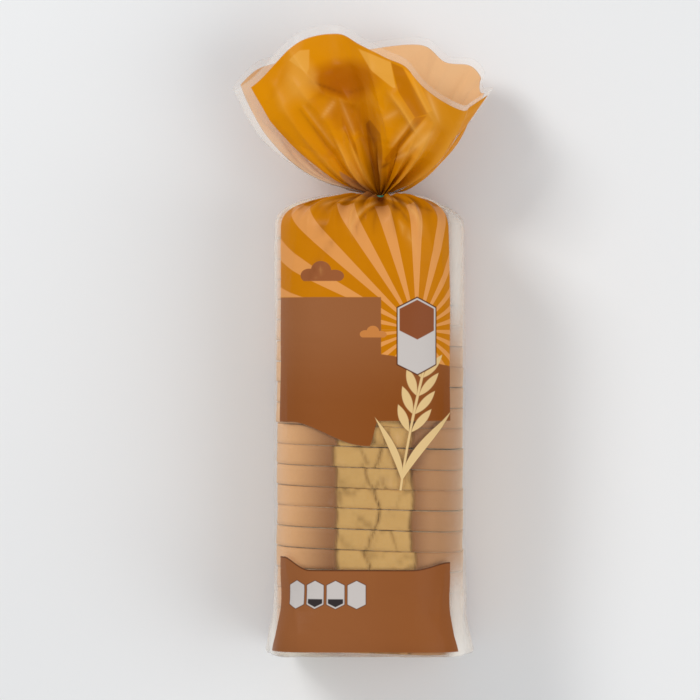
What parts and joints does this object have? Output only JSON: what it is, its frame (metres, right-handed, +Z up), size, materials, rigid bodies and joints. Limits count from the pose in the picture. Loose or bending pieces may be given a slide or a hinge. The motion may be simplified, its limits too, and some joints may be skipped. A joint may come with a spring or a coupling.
{
  "type": "loaf in bread bag",
  "caption": "Sliced split-top loaf in a clear printed bread bag, lying on its bottom crust, its neck closed by a twist tie and the bag's tail flared open.",
  "frame": {"origin": "centre of the bag's flat base, the face it lies on", "axes": "+Z up out of the split top crust, +Y along the loaf towards the tied neck, +X to the right seen from above with the neck away from the viewer"},
  "size_m": [0.1476, 0.3601, 0.1086],
  "materials": {
    "film": "glossy",
    "tie": "satin",
    "bread": "matte"
  },
  "bodies": {
    "root": {"bread_bag": "film", "twist_tie": "tie"}
  },
  "joints": []
}
